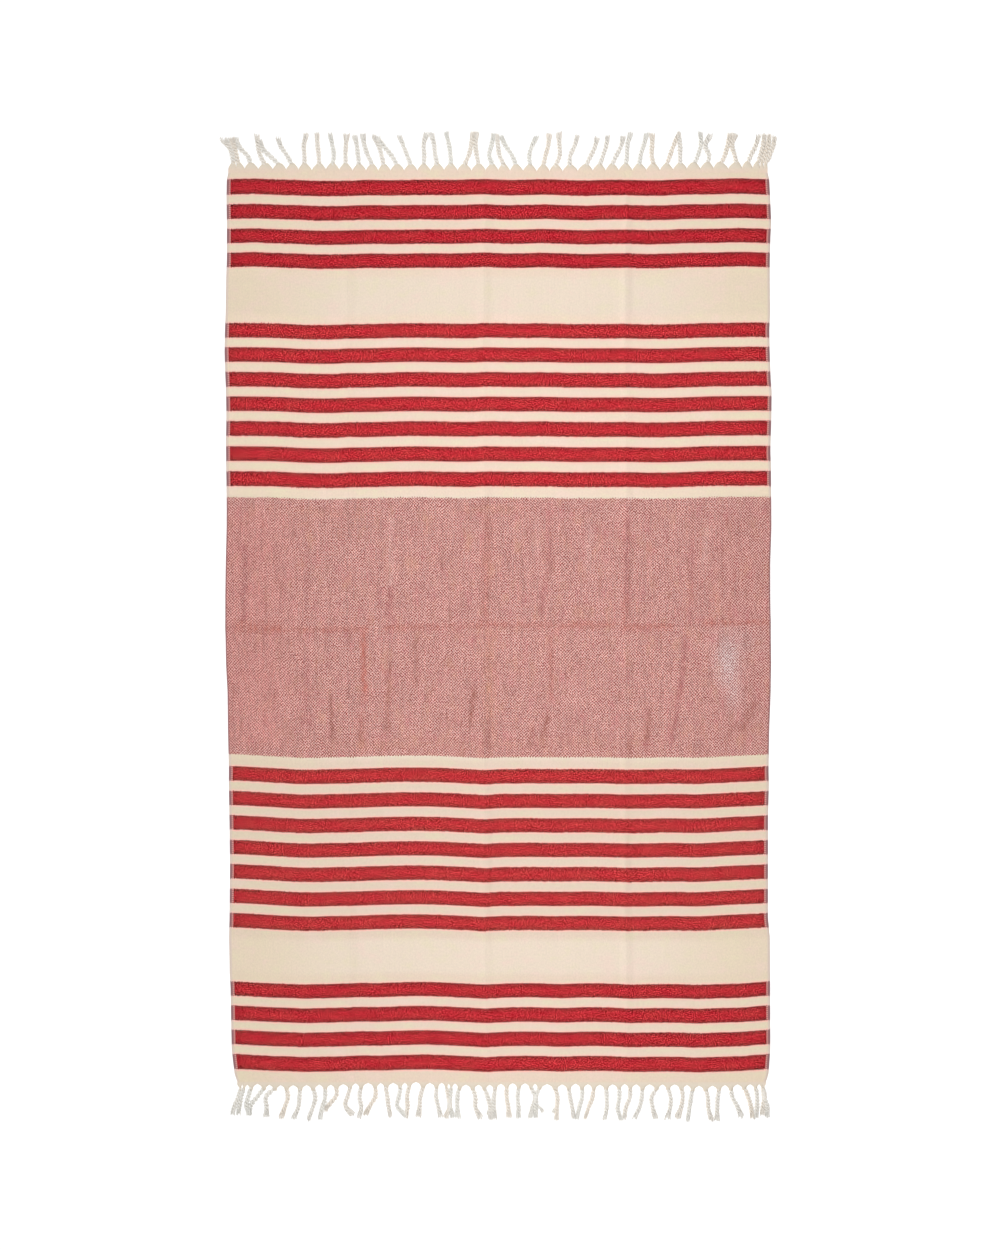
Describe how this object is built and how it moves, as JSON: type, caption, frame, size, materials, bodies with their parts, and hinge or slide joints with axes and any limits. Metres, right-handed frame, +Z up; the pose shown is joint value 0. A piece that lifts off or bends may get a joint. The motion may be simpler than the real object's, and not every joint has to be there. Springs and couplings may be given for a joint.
{
  "type": "hammam towel",
  "caption": "Flat-woven cotton bath towel lying open, with cross stripes either side of a mixed-weave middle panel and twisted cord fringe along both short ends.",
  "frame": {"origin": "on the floor under the middle of the whole towel, fringes included", "axes": "+Y along the towel towards the upper end in the picture, +X across it to the right, +Z up from the floor"},
  "size_m": [1.0118, 1.8062, 0.0052],
  "materials": {
    "woven_cotton": "matt flat weave, deep red and ecru stripes, with a middle panel of both mixed",
    "cotton_cord": "matt ecru cotton yarn twisted into two-ply cord"
  },
  "bodies": {
    "root": {"cloth": "woven_cotton", "fringe_top": "cotton_cord", "fringe_bottom": "cotton_cord"}
  },
  "joints": []
}
